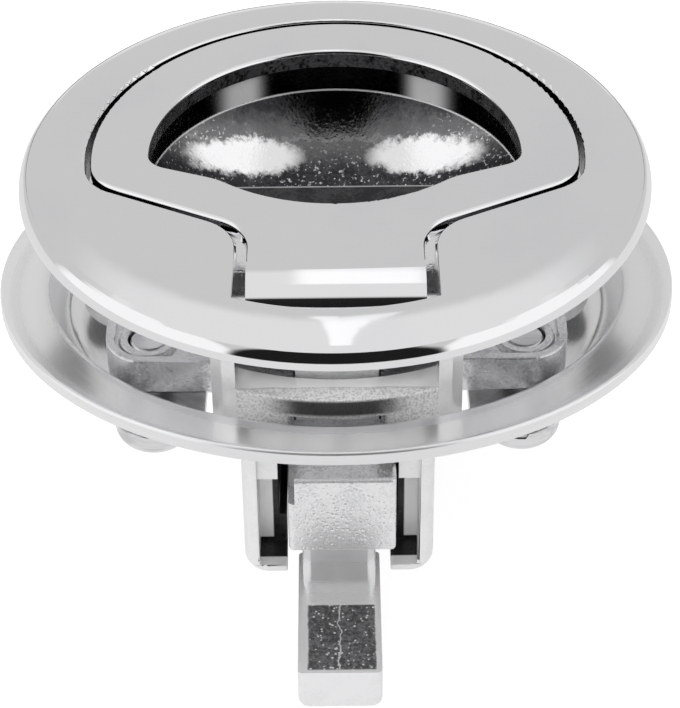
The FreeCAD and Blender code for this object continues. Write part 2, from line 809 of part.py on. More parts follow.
def pieces():
    made = {
        "latch_body": latch_body(),
        "handle": handle(),
        "hinge_pin": hinge_pin(),
        "handle_return_spring": handle_return_spring(),
        "bolt": bolt(),
        "bolt_spring": bolt_spring(),
        "spring_guide": spring_guide(),
        "rear_cover": rear_cover(),
        "backing_ring": backing_ring(),
    }
    for number, (x, z) in enumerate(cover_screw_places(), 1):
        made["cover_screw_%d" % number] = cover_screw(x, z)
    for name, side in (("left", -1), ("right", 1)):
        made["clamp_screw_" + name] = clamp_screw(side)
        made["flat_washer_" + name] = washer(side, flat_washer_radius, washer_top, flat_washer_thickness)
        made["lock_washer_" + name] = lock_washer(side)
    return made


os.makedirs("parts", exist_ok=True)
for node, shape in pieces().items():
    shape.exportStep("parts/%s.step" % node)
    print(node, shape.isValid(), len(shape.Solids), "%.1f mm3" % shape.Volume)
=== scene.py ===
"""Looks of a flush slam latch: its castings, handle, bolt and backing ring, in a small white studio."""

import logging
import math
from collections.abc import Callable, Iterator
from contextlib import contextmanager
from dataclasses import dataclass
from enum import Enum, IntEnum

import bpy
from mathutils import Euler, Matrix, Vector

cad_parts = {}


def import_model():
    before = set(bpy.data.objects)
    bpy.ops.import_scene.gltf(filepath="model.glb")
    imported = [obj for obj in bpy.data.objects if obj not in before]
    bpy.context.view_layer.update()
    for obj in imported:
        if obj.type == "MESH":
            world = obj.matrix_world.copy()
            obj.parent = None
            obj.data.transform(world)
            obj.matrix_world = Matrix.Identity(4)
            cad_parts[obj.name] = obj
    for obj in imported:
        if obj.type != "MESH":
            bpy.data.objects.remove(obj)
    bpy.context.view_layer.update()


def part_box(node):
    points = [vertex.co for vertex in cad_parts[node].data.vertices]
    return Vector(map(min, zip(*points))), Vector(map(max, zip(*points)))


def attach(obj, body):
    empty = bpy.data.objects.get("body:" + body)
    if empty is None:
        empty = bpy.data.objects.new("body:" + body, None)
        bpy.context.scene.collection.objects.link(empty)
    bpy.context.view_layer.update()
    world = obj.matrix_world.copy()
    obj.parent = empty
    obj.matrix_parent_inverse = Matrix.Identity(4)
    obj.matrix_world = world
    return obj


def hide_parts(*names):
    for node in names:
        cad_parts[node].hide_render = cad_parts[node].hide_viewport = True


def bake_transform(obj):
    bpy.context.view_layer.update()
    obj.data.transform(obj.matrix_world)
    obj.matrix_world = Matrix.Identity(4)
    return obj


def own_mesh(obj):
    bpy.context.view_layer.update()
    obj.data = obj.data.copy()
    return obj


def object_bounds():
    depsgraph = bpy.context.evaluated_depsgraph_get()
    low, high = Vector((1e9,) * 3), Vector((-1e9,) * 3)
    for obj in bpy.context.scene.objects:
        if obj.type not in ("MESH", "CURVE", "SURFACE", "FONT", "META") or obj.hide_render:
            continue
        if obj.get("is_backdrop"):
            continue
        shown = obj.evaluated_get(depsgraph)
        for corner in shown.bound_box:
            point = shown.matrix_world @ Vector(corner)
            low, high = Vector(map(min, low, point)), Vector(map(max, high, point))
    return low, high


MM = 0.001
WELD = 0.002 * MM
NEAR = 0.02 * MM
FLAT_BEND = math.radians(0.4)
SHARP_BEND = math.radians(32.0)
ROUND_BEND = math.radians(40.0)
UPRIGHT = 0.3
LINE_CORE = 0.3
log = logging.getLogger("latch")

Triple = tuple[float, float, float]
Colour = Triple
Span = tuple[float, float]
Socket = bpy.types.NodeSocket
Value = float | Triple | Socket


class Body(Enum):
    """The parts of the latch that move as one."""

    FIXED = "root"
    HANDLE = "handle"
    BOLT = "bolt"
    CLAMP = "clamp_screws"
    RING = "backing_ring"


class Slot(Enum):
    """The record's finishes."""

    POLISHED = "polished_chrome"
    HANDLE = "handle_chrome"
    CAST = "cast_chrome"
    RING = "satin_ring"
    SPRING = "spring_wire"
    COVER = "cover_plate"
    WASHER = "washer_steel"
    TURNED = "turned_steel"
    SCREW = "screw_steel"


class CastingArea(IntEnum):
    """The casting's areas, in the order of its materials."""

    BEZEL = 0
    RECESS = 1
    NECK = 2
    LUG = 3
    SATIN = 4
    GAP = 5
    MOUTH = 6
    BAND = 7


class HandleArea(IntEnum):
    """The handle's areas, in the order of its materials."""

    TOP = 0
    UNDER = 1
    GRIP_EDGE = 2
    DRUM = 3
    GAP = 4


class BoltArea(IntEnum):
    """The bolt's areas, in the order of its materials."""

    BLOCK = 0
    NECK = 1
    NOSE = 2
    FOOT_TOP = 3


# Modelling


def deselect_all() -> None:
    """Leaves nothing selected and no object in edit mode."""
    if bpy.context.object is not None and bpy.context.object.mode != "OBJECT":
        bpy.ops.object.mode_set(mode="OBJECT")
    bpy.ops.object.select_all(action="DESELECT")


def activate(piece: bpy.types.Object) -> None:
    """Makes one piece the only selected and the active one.

    Args:
        piece: The object to work on.
    """
    deselect_all()
    piece.select_set(True)
    bpy.context.view_layer.objects.active = piece


@contextmanager
def editing(piece: bpy.types.Object, mode: str = "VERT") -> Iterator[None]:
    """Opens a piece in edit mode with everything selected, and closes it again.

    Args:
        piece: The mesh to edit.
        mode: VERT, EDGE or FACE selection.
    """
    activate(piece)
    bpy.ops.object.mode_set(mode="EDIT")
    bpy.ops.mesh.select_mode(type=mode)
    bpy.ops.mesh.select_all(action="SELECT")
    yield
    bpy.ops.object.mode_set(mode="OBJECT")


def apply_modifier(piece: bpy.types.Object, kind: str, **settings: object) -> None:
    """Adds a modifier with its settings and applies it at once.

    Args:
        piece: The mesh to change.
        kind: Blender's name of the modifier.
        settings: The modifier's own properties.
    """
    activate(piece)
    modifier = piece.modifiers.new(kind.lower(), kind)
    for name, value in settings.items():
        setattr(modifier, name, value)
    bpy.ops.object.modifier_apply(modifier=modifier.name)


def smooth(piece: bpy.types.Object) -> None:
    """Shades gentle bends smooth, keeps true edges sharp and flat faces flat.

    Args:
        piece: The mesh to shade.
    """
    activate(piece)
    bpy.ops.object.shade_smooth_by_angle(angle=SHARP_BEND)
    apply_modifier(piece, "WEIGHTED_NORMAL", mode="FACE_AREA", weight=100, keep_sharp=True)


def mark_bends(piece: bpy.types.Object) -> None:
    """Marks the edges of true bends as sharp, also where their shading hid them.

    Args:
        piece: The mesh to mark.
    """
    with editing(piece, "EDGE"):
        bpy.ops.mesh.select_all(action="DESELECT")
        bpy.ops.mesh.edges_select_sharp(sharpness=SHARP_BEND)
        bpy.ops.mesh.mark_sharp()


def round_edges(piece: bpy.types.Object, width: float) -> None:
    """Rounds all sharp edges of a piece by a small width.

    Args:
        piece: The mesh to change.
        width: How far a round runs to each side of its edge.
    """
    apply_modifier(
        piece, "BEVEL", width=width, segments=2, limit_method="ANGLE", angle_limit=ROUND_BEND,
        use_clamp_overlap=True, miter_outer="MITER_ARC",
    )


def round_chosen(
    piece: bpy.types.Object,
    wanted: Callable[[Vector], bool],
    width: float,
    segments: int,
    sharp: bool = False,
) -> None:
    """Rounds the edges whose two ends both pass a test.

    Args:
        piece: The mesh to change.
        wanted: Takes a vertex's place.
        width: How far a round runs to each side of its edge.
        segments: Its number of steps.
        sharp: Whether only edges that are shaded sharp are taken.
    """
    mesh = piece.data
    chosen = [wanted(vertex.co) for vertex in mesh.vertices]
    old = mesh.attributes.get("bevel_weight_edge")
    weights = old or mesh.attributes.new("bevel_weight_edge", "FLOAT", "EDGE")
    for edge in mesh.edges:
        taken = all(chosen[index] for index in edge.vertices) and (edge.use_edge_sharp or not sharp)
        weights.data[edge.index].value = float(taken)
    apply_modifier(
        piece, "BEVEL", width=width, segments=segments, limit_method="WEIGHT", use_clamp_overlap=False
    )


def solid_copy(node: str, name: str, edge_round: float = 0.0) -> bpy.types.Object:
    """Copies a node's solid, joins its loose triangles and its flat faces, and shades it.

    Args:
        node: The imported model's node.
        name: The new piece's name.
        edge_round: The width of the rounds on its sharp edges, or none.

    Returns:
        The new piece, which is not yet tied to a body.
    """
    source = bpy.data.objects[node]
    piece = bpy.data.objects.new(name, source.data.copy())
    bpy.context.scene.collection.objects.link(piece)
    piece.data.materials.clear()
    with editing(piece):
        bpy.ops.mesh.remove_doubles(threshold=WELD)
        bpy.ops.mesh.dissolve_limited(angle_limit=FLAT_BEND)
    if edge_round:
        round_edges(piece, edge_round)
    smooth(piece)
    return piece


def block(low: Vector, high: Vector) -> bpy.types.Object:
    """Returns an upright block between two corners, for cutting.

    Args:
        low: Its lowest corner.
        high: Its highest corner.
    """
    deselect_all()
    bpy.ops.mesh.primitive_cube_add(size=1.0, location=(low + high) / 2)
    made = bpy.context.active_object
    made.scale = high - low
    bpy.ops.object.transform_apply(location=True, rotation=False, scale=True)
    return made


def cut(piece: bpy.types.Object, *tools: bpy.types.Object) -> None:
    """Takes the tools' shapes out of a piece, and removes the tools.

    Args:
        piece: The mesh to change.
        tools: Closed meshes.
    """
    for tool in tools:
        apply_modifier(piece, "BOOLEAN", operation="DIFFERENCE", solver="EXACT", object=tool)
        bpy.data.objects.remove(tool, do_unlink=True)


def cut_drive_cross(
    piece: bpy.types.Object, axis: int, tip: float, inward: float, reach: float, half_width: float
) -> None:
    """Cuts a screw head's cross recess and shades the screw again.

    Args:
        piece: The screw.
        axis: Its long axis, 1 for Y and 2 for Z.
        tip: Where the head ends on that axis.
        inward: The recess's depth, with the sign of the way in.
        reach: Half the cross's length.
        half_width: Half the width of its arms.
    """
    corners = [vertex.co for vertex in piece.data.vertices]
    middle = [(min(c[i] for c in corners) + max(c[i] for c in corners)) / 2 for i in range(3)]
    across = [i for i in range(3) if i != axis]
    tools = []
    for long_axis in across:
        low, high = Vector(middle), Vector(middle)
        for i in across:
            half = reach if i == long_axis else half_width
            low[i] -= half
            high[i] += half
        low[axis], high[axis] = sorted((tip - inward, tip + inward))
        tools.append(block(low, high))
    cut(piece, *tools)
    smooth(piece)


def finish_piece(piece: bpy.types.Object, body: Body | None, slot: Slot, *nodes: str) -> bpy.types.Object:
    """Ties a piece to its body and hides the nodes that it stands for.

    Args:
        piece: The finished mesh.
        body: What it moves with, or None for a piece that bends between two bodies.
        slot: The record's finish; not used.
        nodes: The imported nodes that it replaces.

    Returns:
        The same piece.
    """
    if body is not None:
        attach(piece, body.value)
    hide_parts(*nodes)
    return piece


def paint_faces(piece: bpy.types.Object, index: int, wanted: Callable[[Vector, Vector], bool]) -> None:
    """Gives the faces that pass a test another of the piece's materials.

    Args:
        piece: The dressed mesh.
        index: The material's place in the piece's list.
        wanted: Takes a face's centre and normal.
    """
    for face in piece.data.polygons:
        if wanted(face.center, face.normal):
            face.material_index = index


# Shaders


class Graph:
    """A node tree that is built with short calls."""

    def __init__(self, tree: bpy.types.NodeTree) -> None:
        """Empties the tree.

        Args:
            tree: The material's, world's or group's tree.
        """
        self.tree = tree
        tree.nodes.clear()

    def put(self, socket: Socket, value: Value) -> None:
        """Links a socket, or sets its own value."""
        if isinstance(value, bpy.types.NodeSocket):
            self.tree.links.new(value, socket)
        elif isinstance(value, tuple) and len(value) == 3 and len(socket.default_value) == 4:
            socket.default_value = (*value, 1.0)
        else:
            socket.default_value = value

    def node(
        self, kind: str, inputs: dict[str | int, Value] | None = None, **settings: object
    ) -> bpy.types.Node:
        """Adds a node.

        Args:
            kind: Blender's name of the node type.
            inputs: Values or sockets for the node's inputs.
            settings: The node's own properties.

        Returns:
            The new node.
        """
        made = self.tree.nodes.new(kind)
        for name, value in settings.items():
            setattr(made, name, value)
        for name, value in (inputs or {}).items():
            self.put(made.inputs[name], value)
        return made

    def math(self, operation: str, *values: Value) -> Socket:
        """Returns the values joined by an operation, from the first to the last.

        Args:
            operation: Blender's name of it.
            values: Two or more, or one for an operation that takes one.

        Returns:
            The last Math node's value.
        """
        result = values[0]
        for value in values[1:] or (0.0,):
            made = self.node("ShaderNodeMath", {0: result, 1: value}, operation=operation)
            result = made.outputs[0]
        return result

    def times(self, *values: Value) -> Socket:
        """Returns the values' product."""
        return self.math("MULTIPLY", *values)

    def plus(self, *values: Value) -> Socket:
        """Returns the values' sum."""
        return self.math("ADD", *values)

    def minus(self, a: Value, b: Value) -> Socket:
        """Returns one value less another."""
        return self.math("SUBTRACT", a, b)

    def most(self, *values: Value) -> Socket:
        """Returns the highest of the values."""
        return self.math("MAXIMUM", *values)

    def unsigned(self, value: Value) -> Socket:
        """Returns a value without its sign."""
        return self.math("ABSOLUTE", value)

    def square(self, value: Value) -> Socket:
        """Returns a value's square."""
        return self.math("POWER", value, 2.0)

    def span(
        self, value: Value, low: float, high: float, to_low: float = 0.0, to_high: float = 1.0
    ) -> Socket:
        """Returns a value eased from one range to another."""
        made = self.node(
            "ShaderNodeMapRange",
            {"Value": value, "From Min": low, "From Max": high, "To Min": to_low, "To Max": to_high},
            interpolation_type="SMOOTHSTEP",
        )
        return made.outputs["Result"]

    def step(self, value: Value, place: float, soft: float) -> Socket:
        """Returns 0 before a place and 1 after it, with a soft edge; a negative one turns it round."""
        return self.span(value, place - soft, place + soft)

    def line(self, value: Value, place: float, width: float) -> Socket:
        """Returns a soft line where a value passes one place."""
        return self.span(self.unsigned(self.minus(value, place)), width, LINE_CORE * width)

    def between(self, share: Value, at_none: float, at_all: float) -> Socket:
        """Returns an eased value between two, for a share from 0 to 1."""
        return self.span(share, 0.0, 1.0, at_none, at_all)

    def noise(self, vector: Socket, scale: Value, detail: float = 3.0, roughness: float = 0.5) -> Socket:
        """Returns a noise texture's value."""
        inputs = {"Vector": vector, "Scale": scale, "Detail": detail, "Roughness": roughness}
        return self.node("ShaderNodeTexNoise", inputs).outputs[0]

    def wander(
        self, vector: Socket, scale: float, reach: float, detail: float = 3.0, roughness: float = 0.5
    ) -> Socket:
        """Returns a distance that wanders to both sides of zero."""
        return self.times(self.minus(self.noise(vector, scale, detail, roughness), 0.5), reach)

    def split(self, vector: Socket) -> tuple[Socket, ...]:
        """Returns a vector's X, Y and Z."""
        return tuple(self.node("ShaderNodeSeparateXYZ", {"Vector": vector}).outputs)

    def mix_colour(self, factor: Value, a: Value, b: Value) -> Socket:
        """Returns a colour between two."""
        made = self.node("ShaderNodeMix", {0: factor, 6: a, 7: b}, data_type="RGBA")
        return made.outputs[2]

    def mix_shader(self, factor: Socket, a: bpy.types.Node, b: bpy.types.Node) -> bpy.types.Node:
        """Returns a shader between two."""
        return self.node("ShaderNodeMixShader", {0: factor, 1: a.outputs[0], 2: b.outputs[0]})


def new_group(
    name: str, takes: dict[str, float | None], gives: list[str]
) -> tuple[Graph, bpy.types.Node, bpy.types.Node]:
    """Starts a shader node group.

    Args:
        name: The group's name.
        takes: Its inputs; None stands for a vector, and a number is a value's default.
        gives: Its outputs, all of them values.

    Returns:
        The group's graph, its input node and its output node.
    """
    tree = bpy.data.node_groups.new(name, "ShaderNodeTree")
    graph = Graph(tree)
    for label, default in takes.items():
        kind = "NodeSocketVector" if default is None else "NodeSocketFloat"
        socket = tree.interface.new_socket(label, in_out="INPUT", socket_type=kind)
        if default is not None:
            socket.default_value = default
    for label in gives:
        tree.interface.new_socket(label, in_out="OUTPUT", socket_type="NodeSocketFloat")
    return graph, graph.node("NodeGroupInput"), graph.node("NodeGroupOutput")


def cast_skin_group() -> bpy.types.NodeTree:
    """Returns the skin of a plated casting: soft lumps, small pits and bright specks."""
    name = "cast skin"
    if name in bpy.data.node_groups:
        return bpy.data.node_groups[name]
    pit_scale, pit_edge, patch_scale, speck_edge = 0.6, (0.08, 0.42), 420.0, (0.9, 1.2)
    takes = {"Place": None, "Grain per metre": 3600.0, "Pit share": 0.5}
    graph, given, result = new_group(name, takes, ["Height", "Specks"])
    place, grain, pit_share = given.outputs[:3]
    lumps = graph.noise(place, grain, 4.0, 0.6)
    cells = graph.node("ShaderNodeTexVoronoi", {"Vector": place, "Scale": graph.times(grain, pit_scale)})
    pits = graph.span(cells.outputs["Distance"], *pit_edge)
    deep = graph.times(graph.minus(pits, 1.0), pit_share)
    patches = graph.noise(place, patch_scale, 3.0, 0.6)
    graph.put(result.inputs["Height"], graph.plus(lumps, deep))
    graph.put(result.inputs["Specks"], graph.span(graph.plus(lumps, patches), *speck_edge))
    return graph.tree


def brushed_group() -> bpy.types.NodeTree:
    """Returns long fine scratches along one direction, from a place that is already stretched."""
    name = "brushed grain"
    if name in bpy.data.node_groups:
        return bpy.data.node_groups[name]
    broad_scale, streak_edge = 0.15, (0.35, 0.65)
    takes = {"Stretched place": None, "Grain per metre": 6000.0}
    graph, given, result = new_group(name, takes, ["Height", "Streaks"])
    place, grain = given.outputs[:2]
    fine = graph.noise(place, grain, 2.0)
    broad = graph.noise(place, graph.times(grain, broad_scale), 2.0)
    graph.put(result.inputs["Height"], graph.plus(fine, broad))
    graph.put(result.inputs["Streaks"], graph.span(broad, *streak_edge))
    return graph.tree


def handling_group() -> bpy.types.NodeTree:
    """Returns the faint haze that hands and cloths leave on a polished face."""
    name = "handling haze"
    if name in bpy.data.node_groups:
        return bpy.data.node_groups[name]
    cloud_scale, haze_edge = 70.0, (0.45, 0.75)
    hair_scale, hair_stretch, hair_turn, hair_edge = 5200.0, (1.0, 0.04, 1.0), (0.0, 0.0, 0.6), (0.66, 0.74)
    graph, given, result = new_group(name, {"Place": None}, ["Haze", "Scratches"])
    place = given.outputs["Place"]
    clouds = graph.noise(place, cloud_scale, 4.0, 0.6)
    turned = graph.node("ShaderNodeMapping", {"Vector": place, "Rotation": hair_turn, "Scale": hair_stretch})
    hairs = graph.noise(turned.outputs[0], hair_scale, 1.0)
    graph.put(result.inputs["Haze"], graph.span(clouds, *haze_edge))
    graph.put(result.inputs["Scratches"], graph.span(hairs, *hair_edge))
    return graph.tree


def cast_skin(
    graph: Graph, place: Socket, grain: float = 3600.0, pit_share: float = 0.5
) -> tuple[Socket, Socket]:
    """Adds the casting's skin to a material.

    Args:
        graph: The material's graph.
        place: The place on the piece.
        grain: Lumps per metre.
        pit_share: How much the pits count against the lumps.

    Returns:
        The skin's height and its specks.
    """
    inputs = {"Place": place, "Grain per metre": grain, "Pit share": pit_share}
    skin = graph.node("ShaderNodeGroup", inputs, node_tree=cast_skin_group())
    return skin.outputs["Height"], skin.outputs["Specks"]


def end_material(
    graph: Graph, colour: Value, roughness: Value, height: Socket, bump: float, depth: float, metallic: Value
) -> None:
    """Closes a metal material with its shader.

    Args:
        graph: The material's graph.
        colour: The metal's colour.
        roughness: How dull the surface is.
        height: The relief.
        bump: The relief's strength.
        depth: The relief's depth in metres.
        metallic: The share of mirror-like metal; the rest scatters light evenly, as a blasted skin does.
    """
    relief = graph.node("ShaderNodeBump", {"Height": height, "Strength": bump, "Distance": depth})
    metal = graph.node("ShaderNodeBsdfPrincipled", {
        "Metallic": metallic, "Base Color": colour, "Roughness": roughness, "Normal": relief.outputs[0],
    })
    graph.node("ShaderNodeOutputMaterial", {"Surface": metal.outputs[0]})


@dataclass(frozen=True)
class Finish:
    """A finish, whose material is built once and shared by all that have it."""

    name: str

    def material(self) -> bpy.types.Material:
        """Returns the finish's material."""
        if self.name in bpy.data.materials:
            return bpy.data.materials[self.name]
        material = bpy.data.materials.new(self.name)
        material.use_nodes = True
        graph = Graph(material.node_tree)
        self.paint(graph, graph.node("ShaderNodeTexCoord").outputs["Object"])
        return material

    def paint(self, graph: Graph, place: Socket) -> None:
        """Adds the finish's nodes.

        Args:
            graph: The new material's graph.
            place: The place on the piece.
        """
        raise NotImplementedError


@dataclass(frozen=True)
class MirrorChrome(Finish):
    """Polished chrome plate with a trace of handling."""

    name: str = "mirror chrome"
    bright: Colour = (0.91, 0.91, 0.92)
    dull: Colour = (0.84, 0.85, 0.86)
    haze_share: float = 0.5
    roughness: float = 0.035
    hazy_roughness: float = 0.075
    bump: float = 0.015
    depth: float = 0.002 * MM

    def paint(self, graph: Graph, place: Socket) -> None:
        """Adds the haze and the hairline scratches."""
        handled = graph.node("ShaderNodeGroup", {"Place": place}, node_tree=handling_group())
        haze = handled.outputs["Haze"]
        colour = graph.mix_colour(graph.times(haze, self.haze_share), self.bright, self.dull)
        rough = graph.between(haze, self.roughness, self.hazy_roughness)
        end_material(graph, colour, rough, handled.outputs["Scratches"], self.bump, self.depth, 1.0)


@dataclass(frozen=True)
class CastChrome(Finish):
    """Chrome plate over an unpolished casting, with lumps and pits that show through."""

    bright: Colour = (0.88, 0.88, 0.89)
    dull: Colour = (0.62, 0.62, 0.64)
    roughness: float = 0.12
    rough_specks: float = 0.3
    grain: float = 3600.0
    pit_share: float = 0.5
    bump: float = 0.5
    depth: float = 0.05 * MM
    metallic: float = 1.0

    def paint(self, graph: Graph, place: Socket) -> None:
        """Adds the skin and its specks."""
        height, specks = cast_skin(graph, place, self.grain, self.pit_share)
        colour = graph.mix_colour(specks, self.bright, self.dull)
        rough = graph.between(specks, self.roughness, self.rough_specks)
        end_material(graph, colour, rough, height, self.bump, self.depth, self.metallic)


@dataclass(frozen=True)
class RecessChrome(Finish):
    """Plating in a deep finger well, with painted reflections: a painted dark reflection over the well, and
    painted highlights as bright patches, lines and walls.
    """

    name: str = "recess chrome"
    bright: Colour = (0.93, 0.93, 0.94)
    painted_dark_reflection: Colour = (0.035, 0.035, 0.038)
    dark_mottle: Colour = (0.07, 0.07, 0.073)
    roughness: float = 0.09
    rough_specks: float = 0.2
    grain: float = 3000.0
    bump: float = 0.3
    depth: float = 0.05 * MM
    dish_top: float = -2.4 * MM
    dish_soft: float = 0.05 * MM
    shelf_edge: float = 2.2 * MM
    band_low: float = 12.3 * MM
    band_high: float = 15.9 * MM
    bow: float = 18.5
    ragged_scale: float = 900.0
    ragged_reach: float = 2.6 * MM
    patch_x: float = 9.6 * MM
    patch_y: float = 14.0 * MM
    patch_half_width: float = 5.9 * MM
    patch_half_height: float = 1.75 * MM
    patch_edge: Span = (1.45, 0.5)
    crest: float = 15.6 * MM
    crest_width: float = 0.45 * MM
    crest_light: float = 0.22
    fade_top: float = 18.5 * MM
    fade_light: float = 0.14
    wall_near: Span = (6.2 * MM, 9.2 * MM)
    wall_far: Span = (13.8 * MM, 10.4 * MM)
    rim_width: float = 0.16 * MM
    rim_light: float = 0.7
    shelf_line: float = 0.3 * MM
    shelf_light: float = 0.4
    gap_floor: float = -6.5 * MM
    gap_soft: float = 0.5 * MM
    fleck_grain: float = 2600.0
    fleck_edge: Span = (0.6, 0.7)
    fleck_front: Span = (2.0 * MM, 4.5 * MM)
    fleck_light: float = 0.6
    satin_metal: float = 0.15

    def painted_highlights(self, graph: Graph, place: Socket) -> tuple[Socket, Socket]:
        """Works out the painted highlights and how satin the plate is.

        Args:
            graph: The material's graph.
            place: The place on the piece.

        Returns:
            The brightness, 1 where a highlight is painted and 0 where the dark reflection is painted, and the
            satin share.
        """
        x, y, z = graph.split(place)
        aside = graph.unsigned(x)
        ragged = graph.wander(place, self.ragged_scale, self.ragged_reach, 5.0, 0.7)
        bowed = graph.plus(y, graph.times(graph.square(x), self.bow), ragged)
        off = graph.math("DIVIDE", graph.minus(aside, self.patch_x), self.patch_half_width)
        up = graph.math("DIVIDE", graph.minus(bowed, self.patch_y), self.patch_half_height)
        # Painted highlights: two bright patches, a crest line and a fade on the dish, and bright walls, rim
        # lines and a shelf line.
        patch = graph.span(graph.plus(graph.square(off), graph.square(up)), *self.patch_edge)
        crest = graph.times(graph.line(bowed, self.crest, self.crest_width), self.crest_light)
        fade = graph.times(
            graph.span(bowed, self.fade_top, self.band_high), self.fade_light,
            graph.span(bowed, self.band_low, self.band_high),
        )
        in_dish = graph.step(z, self.dish_top, -self.dish_soft)
        dish = graph.times(graph.most(patch, crest, fade), in_dish)
        wall = graph.times(
            graph.span(aside, *self.wall_near), graph.span(aside, *self.wall_far), graph.minus(1.0, in_dish)
        )
        rims = graph.times(graph.line(z, self.dish_top, self.rim_width), self.rim_light)
        shelf = graph.times(graph.line(y, self.shelf_edge, self.shelf_line), self.shelf_light)
        satin = graph.most(wall, rims, shelf)
        return graph.most(dish, satin), satin

    def paint(self, graph: Graph, place: Socket) -> None:
        """Adds the painted dark reflection, its painted glints and the painted highlights."""
        height, specks = cast_skin(graph, place, self.grain)
        y = graph.split(place)[1]
        near = graph.times(graph.span(y, self.band_high, self.band_low), graph.span(y, *self.fleck_front))
        flecks = graph.span(graph.noise(place, self.fleck_grain, 2.0), *self.fleck_edge)
        # Painted dark reflection over the well, mottled by the skin's specks; the bright flecks near the
        # front are painted glints.
        dark = graph.mix_colour(specks, self.painted_dark_reflection, self.dark_mottle)
        dark = graph.mix_colour(graph.times(flecks, near, self.fleck_light), dark, self.bright)
        bright, satin = self.painted_highlights(graph, place)
        front = graph.step(y, self.gap_floor, -self.gap_soft)
        colour = graph.mix_colour(graph.most(bright, front), dark, self.bright)
        rough = graph.between(specks, self.roughness, self.rough_specks)
        metallic = graph.between(satin, 1.0, self.satin_metal)
        end_material(graph, colour, rough, height, self.bump, self.depth, metallic)


@dataclass(frozen=True)
class DarkMouth(Finish):
    """Painted shade inside the bolt's mouth, with a plated edge at each side and a plated lip below."""

    name: str = "bolt mouth"
    plated: Colour = (0.88, 0.88, 0.88)
    painted_shade: Colour = (0.03, 0.03, 0.032)
    painted_shade_speck: Colour = (0.012, 0.012, 0.012)
    edge: Span = (6.65 * MM, 6.8 * MM)
    sill: float = -33.2 * MM
    lip: float = -20.6 * MM
    soft: float = 0.1 * MM
    roughness: float = 0.35
    bump: float = 0.5
    depth: float = 0.05 * MM
    shade_metal: float = 0.5
    plated_metal: float = 0.2

    def paint(self, graph: Graph, place: Socket) -> None:
        """Adds the painted shade inside, the plated edges and the lip."""
        x, y, z = graph.split(place)
        low = graph.step(z, self.sill, -self.soft)
        lip = graph.times(low, graph.step(y, self.lip, -self.soft))
        height, specks = cast_skin(graph, place)
        # The near-black inside is painted shade, where the mouth lies in shadow behind its front.
        inside = graph.mix_colour(specks, self.painted_shade, self.painted_shade_speck)
        edge = graph.times(graph.span(graph.unsigned(x), *self.edge), graph.minus(1.0, low))
        plated = graph.most(edge, lip)
        colour = graph.mix_colour(plated, inside, self.plated)
        metallic = graph.between(plated, self.shade_metal, self.plated_metal)
        end_material(graph, colour, self.roughness, height, self.bump, self.depth, metallic)


@dataclass(frozen=True)
class WindowBand(Finish):
    """The band across the front window: a smooth sill and a rough front edge whose middle is darkened with
    painted shade.
    """

    name: str = "window band"
    bright: Colour = (0.93, 0.93, 0.93)
    dark: Colour = (0.02, 0.02, 0.021)
    sill_edge: float = -25.2 * MM
    sill_soft: float = 0.15 * MM
    front_top: float = -7.45 * MM
    front_soft: float = 0.2 * MM
    foot: float = -9.2 * MM
    foot_soft: float = 0.25 * MM
    middle: float = 5.4 * MM
    middle_soft: float = 2.2 * MM
    wander_scale: float = 500.0
    wander_reach: float = 1.6 * MM
    sill_wander: float = 0.3
    grain: float = 4600.0
    lump_edge: Span = (0.3, 0.64)
    lump_level: float = 0.62
    middle_shade: float = 0.93
    roughness: float = 0.2
    rough_front: float = 0.3
    bump: float = 0.9
    depth: float = 0.08 * MM
    metallic: float = 0.35

    def paint(self, graph: Graph, place: Socket) -> None:
        """Adds the smooth sill, the rough front and the painted shade in its middle."""
        x, y, z = graph.split(place)
        lumps = graph.noise(place, self.grain, 4.0, 0.6)
        wander = graph.wander(place, self.wander_scale, self.wander_reach)
        ahead = graph.plus(y, graph.times(wander, self.sill_wander))
        rough = graph.step(ahead, self.sill_edge, -self.sill_soft)
        centre = graph.step(graph.plus(graph.unsigned(x), wander), self.middle, -self.middle_soft)
        front = graph.times(
            graph.step(z, self.front_top, -self.front_soft), graph.step(z, self.foot, self.foot_soft)
        )
        # Painted shade: the rough front is darkened towards its middle.
        dim = graph.minus(1.0, graph.times(centre, front, self.middle_shade))
        level = graph.times(graph.between(graph.span(lumps, *self.lump_edge), self.lump_level, 1.0), dim)
        level = graph.most(level, graph.minus(1.0, rough))
        colour = graph.mix_colour(level, self.dark, self.bright)
        dullness = graph.between(rough, self.roughness, self.rough_front)
        height = graph.times(lumps, rough)
        end_material(graph, colour, dullness, height, self.bump, self.depth, self.metallic)


